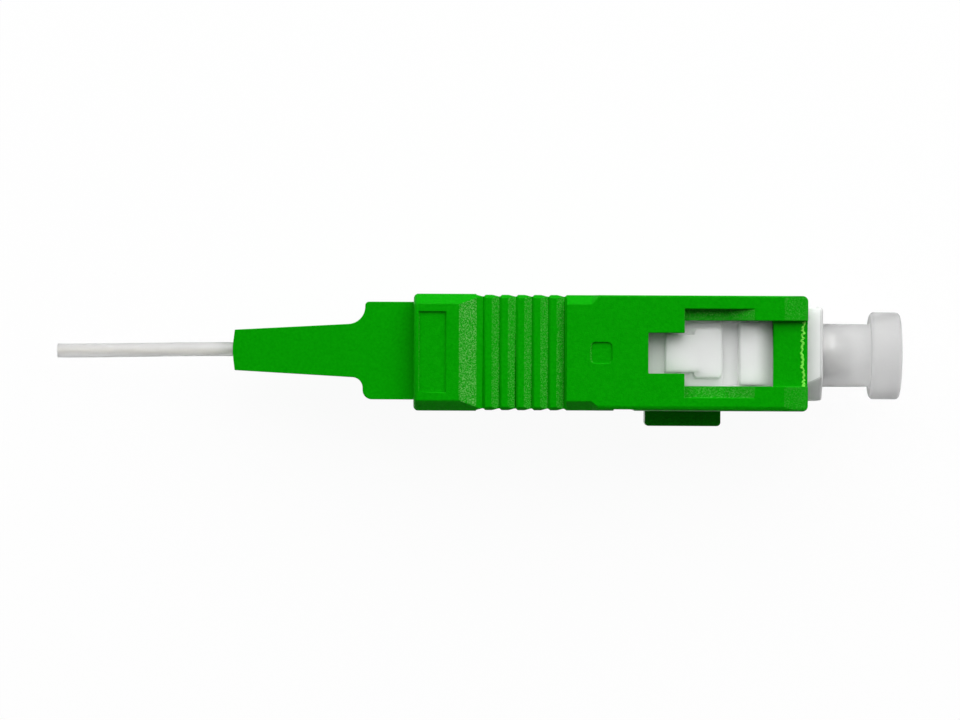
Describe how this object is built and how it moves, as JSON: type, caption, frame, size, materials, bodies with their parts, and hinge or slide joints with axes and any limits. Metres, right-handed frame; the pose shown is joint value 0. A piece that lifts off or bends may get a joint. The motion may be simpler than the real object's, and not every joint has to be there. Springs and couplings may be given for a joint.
{
  "type": "sc fibre connector",
  "caption": "Push-pull square fibre-optic plug with latch windows, spring-loaded ferrule, dust cap, boot and a short buffered fibre stub.",
  "frame": {"origin": "on the ferrule's axis, at the front face of the inner housing", "axes": "+X along the plug towards the ferrule's tip, +Z out of the upper latch window, key towards -Y"},
  "size_m": [0.0548, 0.0084, 0.009],
  "materials": {
    "green_housing": "satin moulded plastic with a fine spark texture",
    "white_plastic": "smooth white moulded plastic",
    "zirconia": "polished white ceramic",
    "flange_metal": "turned, satin",
    "spring_steel": "drawn wire",
    "ring_metal": "nickel-plated turned brass",
    "ptfe": "soft white",
    "green_boot": "smooth soft elastomer",
    "cap_plastic": "natural translucent soft plastic",
    "fibre_jacket": "smooth white extruded jacket",
    "fibre_coating": "clear acrylate",
    "silica": "clear glass"
  },
  "bodies": {
    "plug_body": {"inner_housing": "white_plastic", "stop_ring": "ring_metal", "guide_tube": "ptfe", "boot": "green_boot", "spring": "spring_steel"},
    "outer_housing": {"outer_housing": "green_housing"},
    "ferrule": {"ferrule": "zirconia", "ferrule_flange": "flange_metal", "fibre_buffer": "fibre_jacket", "coated_fibre": "fibre_coating", "glass_fibre": "silica"},
    "dust_cap": {"dust_cap": "cap_plastic"}
  },
  "joints": [
    {"name": "housing_slide", "type": "slide", "parent": "plug_body", "child": "outer_housing", "axis": [1, 0, 0], "range_m": [-0.001, 0.0012]},
    {"name": "ferrule_slide", "type": "slide", "parent": "plug_body", "child": "ferrule", "axis": [-1, 0, 0], "range_m": [0, 0.0012], "stiffness_N_per_m": 1800, "springref_m": -0.0035, "deforming": ["spring"]},
    {"name": "dust_cap_pull", "type": "slide", "parent": "ferrule", "child": "dust_cap", "axis": [1, 0, 0], "range_m": [0, 0.01]}
  ]
}
